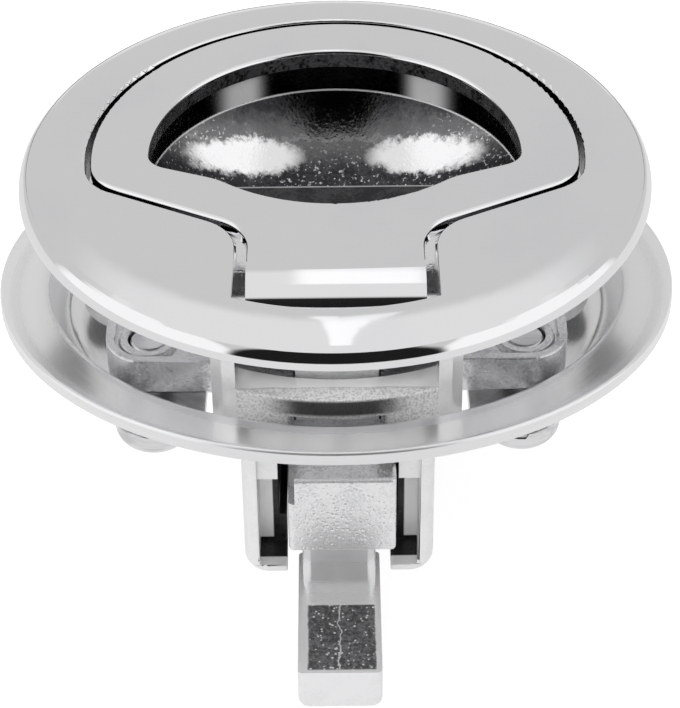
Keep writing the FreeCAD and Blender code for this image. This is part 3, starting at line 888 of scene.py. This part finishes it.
@dataclass(frozen=True)
class PittedFoot(Finish):
    """Chrome on the foot's top: pitted inside a smooth raised border, with the mould's parting line."""

    name: str = "pitted foot"
    bright: Colour = (0.9, 0.9, 0.9)
    dark: Colour = (0.09, 0.09, 0.092)
    dark_mottle: Colour = (0.26, 0.26, 0.265)
    border: Span = (3.5 * MM, 3.25 * MM)
    centre: float = 0.2 * MM
    tip: float = -34.35 * MM
    heel: float = -25.3 * MM
    end_soft: float = 0.12 * MM
    wander_scale: float = 700.0
    wander_reach: float = 1.1 * MM
    side_wander: float = 0.3
    parting_edge: Span = (0.11 * MM, 0.03 * MM)
    parting_light: float = 0.8
    bead_scale: float = 2300.0
    bead_edge: Span = (0.36, 0.2)
    cluster_scale: float = 1300.0
    cluster_edge: Span = (0.46, 0.56)
    stain_scale: float = 2600.0
    stain_edge: Span = (0.38, 0.68)
    lump_scale: float = 3000.0
    fleck_height: float = 0.7
    field_depth: float = 1.5
    border_roughness: float = 0.3
    field_roughness: float = 0.2
    bump: float = 0.5
    depth: float = 0.06 * MM
    metallic: float = 0.55

    def paint(self, graph: Graph, place: Socket) -> None:
        """Adds the border, the pitted field and the parting line."""
        x, y, _ = graph.split(place)
        wander = graph.wander(place, self.wander_scale, self.wander_reach)
        side = graph.plus(x, graph.times(wander, self.side_wander))
        aside = graph.unsigned(graph.minus(side, self.centre))
        inside = graph.times(
            graph.span(aside, *self.border),
            graph.step(y, self.tip, self.end_soft),
            graph.step(y, self.heel, -self.end_soft),
        )
        parting = graph.span(graph.unsigned(graph.plus(x, wander)), *self.parting_edge)
        cells = graph.node("ShaderNodeTexVoronoi", {"Vector": place, "Scale": self.bead_scale})
        beads = graph.span(cells.outputs["Distance"], *self.bead_edge)
        clusters = graph.span(graph.noise(place, self.cluster_scale, 1.0), *self.cluster_edge)
        flecks = graph.most(graph.times(beads, clusters), graph.times(parting, self.parting_light))
        stains = graph.span(graph.noise(place, self.stain_scale, 4.0, 0.7), *self.stain_edge)
        pitted = graph.mix_colour(flecks, graph.mix_colour(stains, self.dark, self.dark_mottle), self.bright)
        colour = graph.mix_colour(inside, self.bright, pitted)
        raised = graph.plus(graph.times(flecks, self.fleck_height), graph.noise(place, self.lump_scale))
        height = graph.minus(raised, graph.times(inside, self.field_depth))
        rough = graph.between(inside, self.border_roughness, self.field_roughness)
        end_material(graph, colour, rough, height, self.bump, self.depth, self.metallic)


@dataclass(frozen=True)
class GrainedSteel(Finish):
    """Steel with a fine grain, whose run its own kinds settle."""

    bright: Colour = (0.86, 0.86, 0.87)
    dull: Colour = (0.70, 0.70, 0.71)
    roughness: float = 0.28
    rough_streaks: float = 0.4
    grain: float = 6000.0
    bump: float = 0.12
    depth: float = 0.01 * MM
    metallic: float = 1.0

    def stretched(self, graph: Graph, place: Socket) -> Socket:
        """Returns the place on the piece, stretched along the grain."""
        raise NotImplementedError

    def paint(self, graph: Graph, place: Socket) -> None:
        """Adds the grain and its streaks."""
        inputs = {"Stretched place": self.stretched(graph, place), "Grain per metre": self.grain}
        grain = graph.node("ShaderNodeGroup", inputs, node_tree=brushed_group())
        streaks = grain.outputs["Streaks"]
        colour = graph.mix_colour(streaks, self.bright, self.dull)
        rough = graph.between(streaks, self.roughness, self.rough_streaks)
        end_material(graph, colour, rough, grain.outputs["Height"], self.bump, self.depth, self.metallic)


@dataclass(frozen=True)
class BrushedSteel(GrainedSteel):
    """Steel with a grain along the piece's X axis."""

    stretch: Triple = (0.03, 1.0, 1.0)

    def stretched(self, graph: Graph, place: Socket) -> Socket:
        """Returns the place on the piece, shortened along X."""
        return graph.node("ShaderNodeMapping", {"Vector": place, "Scale": self.stretch}).outputs[0]


@dataclass(frozen=True)
class TurnedSteel(GrainedSteel):
    """Satin steel with fine rings round a tilted axis, as it leaves a lathe."""

    tilt: float = 0.0
    bright: Colour = (0.96, 0.96, 0.96)
    dull: Colour = (0.88, 0.88, 0.89)
    roughness: float = 0.2
    rough_streaks: float = 0.3
    grain: float = 2600.0
    bump: float = 0.25
    depth: float = 0.015 * MM
    metallic: float = 0.88
    rise: float = 0.5

    def stretched(self, graph: Graph, place: Socket) -> Socket:
        """Returns the distance from the axis and a part of the height, in which the rings are lines."""
        level = graph.node("ShaderNodeMapping", {"Vector": place, "Rotation": (self.tilt, 0.0, 0.0)})
        x, y, z = graph.split(level.outputs[0])
        radius = graph.math("SQRT", graph.plus(graph.square(x), graph.square(y)))
        return graph.node("ShaderNodeCombineXYZ", {"X": radius, "Y": graph.times(z, self.rise)}).outputs[0]


def dress(piece: bpy.types.Object, *finishes: Finish) -> None:
    """Gives a piece its finishes, the first of them on every face."""
    piece.data.materials.clear()
    for finish in finishes:
        piece.data.materials.append(finish.material())


# Near-black plate for the upright walls in the handle's gap: painted shade.
GAP_PAINTED_SHADE = CastChrome(
    "gap painted shade", bright=(0.025, 0.025, 0.025), dull=(0.015, 0.015, 0.015), roughness=0.2, bump=0.1
)
PIN_STEEL = BrushedSteel("pin steel", roughness=0.2)
SPRING_WIRE = BrushedSteel("spring wire", bright=(0.7, 0.7, 0.71), dull=(0.55, 0.55, 0.56))
SCREW_STEEL = BrushedSteel("screw steel", roughness=0.16, rough_streaks=0.24)


# Sub-assemblies


@dataclass
class LatchCasting:
    """The fixed casting: mirror bezel, finger well, plated neck, lugs and bolt housing."""

    bezel_radius: float = 31.75 * MM
    rim_height: float = 1.2 * MM
    rim_round: float = 1.0 * MM
    rim_steps: int = 8
    edge_round: float = 0.14 * MM
    edge_steps: int = 2
    bezel_inner: float = 26.5 * MM
    seat: float = 0.55 * MM
    bezel_foot: float = -0.02 * MM
    recess_radius: float = 20.4 * MM
    recess_front: float = -4.0 * MM
    recess_bottom: float = -13.5 * MM
    shelf_low: float = -3.5 * MM
    shelf_high: float = -2.9 * MM
    shelf_front: float = -12.2 * MM
    shelf_facing: float = 0.5
    gap_reach: float = 25.4 * MM
    gap_floor: float = -2.3 * MM
    gap_front: float = -8.0 * MM
    mouth_half_width: float = 8.15 * MM
    mouth_front: float = -21.1 * MM
    mouth_top: float = -17.0 * MM
    mouth_sill: float = -33.75 * MM
    lug_back: float = -9.0 * MM
    lug_top: float = -0.3 * MM
    neck_front: float = -19.0 * MM
    post_side: float = 12.3 * MM
    window_side: float = 9.7 * MM
    band_inner: float = 24.6 * MM
    band_back: float = -22.2 * MM
    band_roof: float = -7.2 * MM
    band_foot: float = -11.2 * MM
    band_top: float = -4.0 * MM
    neck_bottom: float = -14.2 * MM
    bezel_finish: MirrorChrome = MirrorChrome()
    recess_finish: RecessChrome = RecessChrome()
    neck_finish: CastChrome = CastChrome(
        "plated neck", bright=(0.93, 0.93, 0.93), dull=(0.66, 0.66, 0.67), roughness=0.1, rough_specks=0.26,
        pit_share=0.7, bump=0.7, metallic=0.7,
    )
    lug_finish: CastChrome = CastChrome("cast lug", roughness=0.11, rough_specks=0.2, bump=0.6, metallic=0.8)
    housing_finish: CastChrome = CastChrome(
        "plated housing", bright=(0.9, 0.9, 0.9), dull=(0.86, 0.86, 0.87), roughness=0.3,
        rough_specks=0.4, pit_share=0.2, bump=0.16, metallic=0.45,
    )
    mouth_finish: DarkMouth = DarkMouth()
    band_finish: WindowBand = WindowBand()

    def on_rim(self, place: Vector) -> bool:
        """Whether a vertex lies on the bezel's upper outer edge."""
        off = abs(math.hypot(place.x, place.y) - self.bezel_radius)
        return off < NEAR and abs(place.z - self.rim_height) < NEAR

    def on_casting(self, place: Vector) -> bool:
        """Whether a vertex lies on the lugs, the neck's front or the housing."""
        on_lug = abs(place.x) > self.post_side and place.z < self.lug_top and place.y < self.lug_back
        on_neck = place.z < self.band_top and place.y < self.neck_front
        on_housing = place.z < self.neck_bottom and abs(place.x) < self.post_side
        return on_lug or on_neck or on_housing

    def area(self, centre: Vector, normal: Vector) -> CastingArea:
        """Finds the area that a face belongs to.

        Args:
            centre: The face's centre.
            normal: The way it faces.

        Returns:
            Its area, and so its finish.
        """
        reach, aside = math.hypot(centre.x, centre.y), abs(centre.x)
        if reach > self.bezel_inner and centre.z > 2 * self.bezel_foot:
            return CastingArea.BEZEL
        in_recess = self.recess_bottom < centre.z < self.seat and centre.y > self.recess_front
        on_shelf = normal.z > self.shelf_facing and self.shelf_low < centre.z < self.shelf_high
        if reach < self.recess_radius and (in_recess or (on_shelf and centre.y > self.shelf_front)):
            return CastingArea.RECESS
        # Upright walls in the gap get the painted shade.
        upright = abs(normal.z) < UPRIGHT and reach < self.gap_reach
        if upright and centre.y > self.gap_front and centre.z > self.gap_floor:
            return CastingArea.GAP
        if centre.z > self.bezel_foot:
            return CastingArea.BEZEL
        in_window = centre.y < self.band_back and aside < self.window_side
        if in_window and self.band_foot < centre.z < self.band_roof:
            return CastingArea.BAND
        in_mouth = self.mouth_sill < centre.z < self.mouth_top and centre.y > self.mouth_front
        if in_mouth and aside < self.mouth_half_width:
            return CastingArea.MOUTH
        behind = centre.y > self.lug_back
        if behind or centre.z < self.neck_bottom or self.window_side < aside < self.post_side:
            return CastingArea.SATIN
        rough = aside > self.post_side or (reach > self.band_inner and centre.z < self.band_top)
        return CastingArea.LUG if rough else CastingArea.NECK

    def build(self) -> list[bpy.types.Object]:
        """Returns the dressed casting."""
        piece = solid_copy("latch_body", "casting")
        round_chosen(piece, self.on_rim, self.rim_round, self.rim_steps)
        smooth(piece)
        round_chosen(piece, self.on_casting, self.edge_round, self.edge_steps, sharp=True)
        mark_bends(piece)
        smooth(piece)
        dress(
            piece, self.bezel_finish, self.recess_finish, self.neck_finish, self.lug_finish,
            self.housing_finish, GAP_PAINTED_SHADE, self.mouth_finish, self.band_finish,
        )
        for face in piece.data.polygons:
            face.material_index = self.area(face.center, face.normal)
        return [finish_piece(piece, Body.FIXED, Slot.POLISHED, "latch_body")]


@dataclass
class FlushHandle:
    """The handle plate with its drum and lever."""

    under: float = 0.95 * MM
    edge_foot: float = 0.75 * MM
    top: float = 2.35 * MM
    hole_reach: float = 19.2 * MM
    hole_front: float = 1.0 * MM
    gap_front: float = -9.0 * MM
    drum_front: float = -20.0 * MM
    facing_down: float = -0.2
    edge_round: float = 0.2 * MM
    top_finish: MirrorChrome = MirrorChrome("handle chrome")
    under_finish: CastChrome = CastChrome("handle underside", roughness=0.16)
    # Near-black plate on the grip hole's upright walls: painted shade.
    hole_painted_shade: CastChrome = CastChrome(
        "grip edge painted shade", bright=(0.24, 0.24, 0.25), dull=(0.02, 0.02, 0.02), roughness=0.14, grain=2600.0,
        bump=0.8, metallic=0.8,
    )
    drum_finish: CastChrome = CastChrome(
        "satin drum", bright=(0.95, 0.95, 0.95), roughness=0.22, rough_specks=0.3, pit_share=0.2,
        bump=0.15, metallic=0.2,
    )

    def on_side(self, centre: Vector, normal: Vector) -> bool:
        """Whether a face is an upright side of the plate."""
        return abs(normal.z) < UPRIGHT and self.edge_foot < centre.z < self.top

    def in_hole(self, centre: Vector, normal: Vector) -> bool:
        """Whether a face is the upright wall of the grip hole."""
        inside = math.hypot(centre.x, centre.y) < self.hole_reach and centre.y > self.hole_front
        return inside and self.on_side(centre, normal)

    def build(self) -> list[bpy.types.Object]:
        """Returns the dressed handle."""
        piece = solid_copy("handle", "handle_plate", self.edge_round)
        dress(piece, self.top_finish, self.under_finish, self.hole_painted_shade, self.drum_finish, GAP_PAINTED_SHADE)
        low, front = self.under, self.drum_front
        paint_faces(piece, HandleArea.UNDER, lambda c, n: c.z < low and n.z < self.facing_down)
        paint_faces(piece, HandleArea.DRUM, lambda c, n: c.z < low and c.y < front)
        # Upright sides in the gap get the painted shade.
        paint_faces(piece, HandleArea.GAP, lambda c, n: self.on_side(c, n) and c.y > self.gap_front)
        # The grip hole's upright walls get the painted shade.
        paint_faces(piece, HandleArea.GRIP_EDGE, self.in_hole)
        return [finish_piece(piece, Body.HANDLE, Slot.HANDLE, "handle")]


@dataclass
class HandleHinge:
    """The pin that the handle turns on and its torsion spring.

    The spring's long leg stays in the casting and its short leg turns with the handle.
    """

    long_leg_x: float = 6.94 * MM
    short_leg_x: float = 5.46 * MM

    def build(self) -> list[bpy.types.Object]:
        """Returns the pin and the spring."""
        pin = solid_copy("hinge_pin", "pin")
        dress(pin, PIN_STEEL)
        spring = solid_copy("handle_return_spring", "return_spring")
        dress(spring, SPRING_WIRE)
        made = [
            finish_piece(pin, Body.FIXED, Slot.TURNED, "hinge_pin"),
            finish_piece(spring, None, Slot.SPRING, "handle_return_spring"),
        ]
        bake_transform(spring)
        return made


@dataclass
class SlamBolt:
    """The bolt: rough cast block and foot, with a brushed neck between them."""

    block_bottom: float = -29.9 * MM
    foot_top: float = -36.0 * MM
    foot_top_high: float = -35.2 * MM
    nose_facing: float = 0.5
    top_facing: float = 0.9
    edge_round: float = 0.3 * MM
    notch_low: Triple = (-6.0 * MM, -25.0 * MM, -23.3 * MM)
    notch_high: Triple = (-4.35 * MM, -18.0 * MM, -19.0 * MM)
    block_finish: CastChrome = CastChrome(
        "bolt casting", dull=(0.8, 0.8, 0.81), roughness=0.18, grain=3400.0, pit_share=1.0,
        depth=0.06 * MM, metallic=0.6,
    )
    neck_finish: BrushedSteel = BrushedSteel("brushed bolt neck", roughness=0.24, grain=2400.0, metallic=0.6)
    nose_finish: CastChrome = CastChrome(
        "bolt nose", dull=(0.84, 0.84, 0.85), roughness=0.3, bump=0.1, pit_share=0.2, metallic=0.5
    )
    pitted_finish: PittedFoot = PittedFoot()

    def build(self) -> list[bpy.types.Object]:
        """Returns the dressed bolt."""
        piece = solid_copy("bolt", "slam_bolt")
        cut(piece, block(Vector(self.notch_low), Vector(self.notch_high)))
        round_edges(piece, self.edge_round)
        smooth(piece)
        dress(piece, self.block_finish, self.neck_finish, self.nose_finish, self.pitted_finish)
        low, high = self.foot_top, self.foot_top_high
        paint_faces(piece, BoltArea.NECK, lambda c, n: c.z < self.block_bottom)
        paint_faces(piece, BoltArea.NOSE, lambda c, n: c.z < low and abs(n.z) < self.nose_facing)
        paint_faces(piece, BoltArea.FOOT_TOP, lambda c, n: c.z < high and n.z > self.top_facing)
        return [finish_piece(piece, Body.BOLT, Slot.CAST, "bolt")]


@dataclass
class BoltDrive:
    """What drives and closes the bolt's housing: spring, guide, cover and cover screws."""

    drive_depth: float = 0.75 * MM
    drive_reach: float = 1.05 * MM
    drive_half_width: float = 0.25 * MM
    spring_seat: float = 2.0 * MM
    spring_length: float = 19.95 * MM
    bolt_travel: float = 8.1 * MM
    screws: tuple[str, ...] = ("screw_1", "screw_2", "screw_3", "screw_4")
    cover_finish: BrushedSteel = BrushedSteel("cover sheet", stretch=(0.04, 1.0, 1.0))

    def build(self) -> list[bpy.types.Object]:
        """Returns the cover, the spring, its guide and the four screws."""
        made = []
        for node, name, finish, slot in (
            ("rear_cover", "cover", self.cover_finish, Slot.COVER),
            ("bolt_spring", "compression_spring", SPRING_WIRE, Slot.SPRING),
            ("spring_guide", "guide_rod", PIN_STEEL, Slot.TURNED),
            *((f"cover_{screw}", f"housing_{screw}", SCREW_STEEL, Slot.SCREW) for screw in self.screws),
        ):
            piece = solid_copy(node, name)
            if slot is Slot.SCREW:
                head_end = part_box(node)[1][1]
                cut_drive_cross(
                    piece, 1, head_end, -self.drive_depth, self.drive_reach, self.drive_half_width
                )
            dress(piece, finish)
            made.append(finish_piece(piece, Body.FIXED, slot, node))
            if slot is Slot.SPRING:
                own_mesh(piece)
        return made


@dataclass
class ClampScrews:
    """The two clamp screws with their flat and split washers."""

    drive_depth: float = 1.6 * MM
    drive_reach: float = 1.9 * MM
    drive_half_width: float = 0.42 * MM
    washer_finish: BrushedSteel = BrushedSteel("washer steel", roughness=0.22, rough_streaks=0.32)

    def build(self) -> list[bpy.types.Object]:
        """Returns the screws and washers of both sides."""
        made = []
        for side in ("left", "right"):
            for stem, slot, finish in (
                ("clamp_screw_", Slot.SCREW, SCREW_STEEL),
                ("flat_washer_", Slot.WASHER, self.washer_finish),
                ("lock_washer_", Slot.WASHER, self.washer_finish),
            ):
                piece = solid_copy(stem + side, stem + "piece_" + side)
                if slot is Slot.SCREW:
                    head_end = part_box(stem + side)[0][2]
                    cut_drive_cross(
                        piece, 2, head_end, self.drive_depth, self.drive_reach, self.drive_half_width
                    )
                dress(piece, finish)
                made.append(finish_piece(piece, Body.CLAMP, slot, stem + side))
        return made


@dataclass
class BackingRing:
    """The dished ring behind the panel, turned to a satin face round its tilted axis."""

    finish: TurnedSteel = TurnedSteel("satin ring", tilt=math.radians(7.3))

    def build(self) -> list[bpy.types.Object]:
        """Returns the dressed ring."""
        piece = solid_copy("backing_ring", "clamp_ring")
        dress(piece, self.finish)
        return [finish_piece(piece, Body.RING, Slot.RING, "backing_ring")]


# Studio


@dataclass
class Studio:
    """A white floor, a soft surround with a dark side behind the camera, two lamps and the camera.

    Sizes are in metres, angles in degrees, and the surround's spans are parts of a direction of
    length 1, with X to the right, Y away from the camera and Z up.
    """

    floor_z: float = -50.0 * MM
    floor_front: float = -90.0 * MM
    floor_reach: float = 900.0 * MM
    floor_level: float = 0.78
    floor_paper: float = 0.35
    floor_glow: float = 0.8
    floor_plain: float = 0.8
    camera_distance: float = 240.0 * MM
    camera_height_angle: float = 34.4175
    camera_pitch: float = 38.7948
    camera_roll: float = -0.6
    camera_x: float = 0.308 * MM
    camera_reach: Span = (0.01, 10.0)
    focal_pixels: float = 2373.06
    photo_height: int = 708
    sensor: float = 36.0
    wall_level: float = 0.62
    ceiling_level: float = 0.79
    ceiling_edge: Span = (0.64, 0.84)
    wing_side: Span = (0.42, 0.62)
    wing_back: Span = (0.5, 0.1)
    tube_right: Span = (0.04, 0.032)
    tube_left: Span = (-0.022, -0.014)
    tube_low: Span = (0.64, 0.7)
    tube_front: Span = (0.02, 0.1)
    tube_light: float = 0.3
    dark_level: float = 0.02
    dark_back: Span = (-0.1, -0.28)
    dark_spread: float = 1.1
    dark_top: Span = (0.92, 0.86)
    dark_foot: Span = (-0.06, 0.0)
    horizon: Span = (0.0, -0.08)
    soft_light: float = 0.68
    lamp_size: float = 0.35
    overhead_place: Triple = (-0.12, 0.10, 0.55)
    overhead_watts: float = 2.6
    front_place: Triple = (-0.10, -0.50, 0.30)
    front_watts: float = 1.0

    def floor_material(self) -> bpy.types.Material:
        """Returns a floor that is white to the camera and to reflections, and keeps the shadow."""
        material = bpy.data.materials.new("studio floor")
        material.use_nodes = True
        graph = Graph(material.node_tree)
        white = (1.0, 1.0, 1.0)
        paper = graph.node("ShaderNodeBsdfDiffuse", {"Color": (self.floor_paper,) * 3})
        glow = graph.node("ShaderNodeEmission", {"Color": white, "Strength": self.floor_glow})
        seen = graph.node("ShaderNodeAddShader", {0: paper.outputs[0], 1: glow.outputs[0]})
        plain = graph.node("ShaderNodeBsdfDiffuse", {"Color": (self.floor_plain,) * 3})
        mirrored = graph.node("ShaderNodeEmission", {"Color": white, "Strength": self.floor_level})
        rays = graph.node("ShaderNodeLightPath").outputs
        unseen = graph.mix_shader(rays["Is Glossy Ray"], plain, mirrored)
        mixed = graph.mix_shader(rays["Is Camera Ray"], unseen, seen)
        graph.node("ShaderNodeOutputMaterial", {"Surface": mixed.outputs[0]})
        return material

    def floor(self) -> None:
        """Lays the floor sheet."""
        deselect_all()
        depth = self.floor_reach - self.floor_front
        middle = (self.floor_reach + self.floor_front) / 2
        bpy.ops.mesh.primitive_plane_add(size=1.0, location=(0.0, middle, self.floor_z))
        sheet = bpy.context.active_object
        sheet.name = "floor"
        sheet.scale = (2 * self.floor_reach, depth, 1.0)
        bpy.ops.object.transform_apply(location=True, rotation=False, scale=True)
        sheet.data.materials.append(self.floor_material())
        sheet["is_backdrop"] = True

    def world(self) -> None:
        """Lights the latch with a soft surround and shows the camera plain white.

        Reflections see pale grey walls, a brighter ceiling with one long tube in it, bright wings
        at the sides, a white floor, and the dark side of the room behind the camera.
        """
        world = bpy.data.worlds.new("studio")
        bpy.context.scene.world = world
        world.use_nodes = True
        graph = Graph(world.node_tree)
        x, y, z = graph.split(graph.node("ShaderNodeTexCoord").outputs["Generated"])
        aside = graph.unsigned(x)
        walls = graph.span(z, *self.ceiling_edge, self.wall_level, self.ceiling_level)
        wings = graph.times(graph.span(aside, *self.wing_side), graph.span(y, *self.wing_back))
        tube = graph.times(
            graph.span(x, *self.tube_right), graph.span(x, *self.tube_left),
            graph.span(z, *self.tube_low), graph.span(y, *self.tube_front), self.tube_light,
        )
        lit = graph.plus(graph.most(walls, graph.between(wings, 0.0, 1.0)), tube)
        across = graph.plus(y, graph.times(aside, self.dark_spread))
        dark = graph.times(
            graph.span(across, *self.dark_back), graph.span(z, *self.dark_top), graph.span(z, *self.dark_foot)
        )
        lit = graph.times(lit, graph.between(dark, 1.0, self.dark_level))
        surround = graph.mix_colour(graph.span(z, *self.horizon), lit, (self.floor_level,) * 3)
        white = (1.0, 1.0, 1.0)
        rays = graph.node("ShaderNodeLightPath").outputs
        glossy = graph.node("ShaderNodeBackground", {"Color": surround, "Strength": 1.0})
        soft = graph.node("ShaderNodeBackground", {"Color": white, "Strength": self.soft_light})
        plain = graph.node("ShaderNodeBackground", {"Color": white, "Strength": 1.0})
        lights = graph.mix_shader(rays["Is Glossy Ray"], soft, glossy)
        shown = graph.mix_shader(rays["Is Camera Ray"], lights, plain)
        graph.node("ShaderNodeOutputWorld", {"Surface": shown.outputs[0]})

    def lamp(self, name: str, place: Vector, watts: float) -> None:
        """Adds a square soft lamp that faces the latch.

        Args:
            name: The lamp's name.
            place: Where it hangs.
            watts: Its power.
        """
        light = bpy.data.lights.new(name, "AREA")
        light.size = self.lamp_size
        light.energy = watts
        lamp = bpy.data.objects.new(name, light)
        bpy.context.scene.collection.objects.link(lamp)
        lamp.location = place
        lamp.rotation_euler = (-place).to_track_quat("-Z", "Y").to_euler()
        lamp.visible_glossy = False

    def camera(self) -> None:
        """Adds the camera at the photograph's viewpoint."""
        data = bpy.data.cameras.new("camera")
        data.sensor_width = self.sensor
        data.lens = self.focal_pixels * self.sensor / self.photo_height
        data.clip_start, data.clip_end = self.camera_reach
        camera = bpy.data.objects.new("camera", data)
        bpy.context.scene.collection.objects.link(camera)
        angle = math.radians(self.camera_height_angle)
        camera.location = (
            self.camera_x,
            -math.cos(angle) * self.camera_distance,
            math.sin(angle) * self.camera_distance,
        )
        level = Euler((math.radians(90.0 - self.camera_pitch), 0.0, 0.0)).to_matrix()
        rolled = Euler((0.0, 0.0, math.radians(self.camera_roll))).to_matrix()
        camera.rotation_euler = (level @ rolled).to_euler()
        bpy.context.scene.camera = camera

    def build(self) -> None:
        """Sets the floor, light and camera, and the view's plain colours."""
        self.floor()
        self.world()
        self.lamp("overhead lamp", Vector(self.overhead_place), self.overhead_watts)
        self.lamp("front lamp", Vector(self.front_place), self.front_watts)
        self.camera()
        bpy.context.scene.view_settings.view_transform = "Standard"


def corners() -> list[list[float]]:
    """Returns the shown object's lowest and highest corner as plain lists."""
    return [list(corner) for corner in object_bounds()]


def main() -> None:
    """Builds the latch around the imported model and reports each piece."""
    logging.basicConfig(level=logging.INFO, format="%(message)s")
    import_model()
    Studio().build()
    for assembly in (
        LatchCasting(),
        FlushHandle(),
        HandleHinge(),
        SlamBolt(),
        BoltDrive(),
        ClampScrews(),
        BackingRing(),
    ):
        for piece in assembly.build():
            log.info("%s: %s with %d faces", type(assembly).__name__, piece.name, len(piece.data.polygons))


if __name__ == "__main__":
    main()
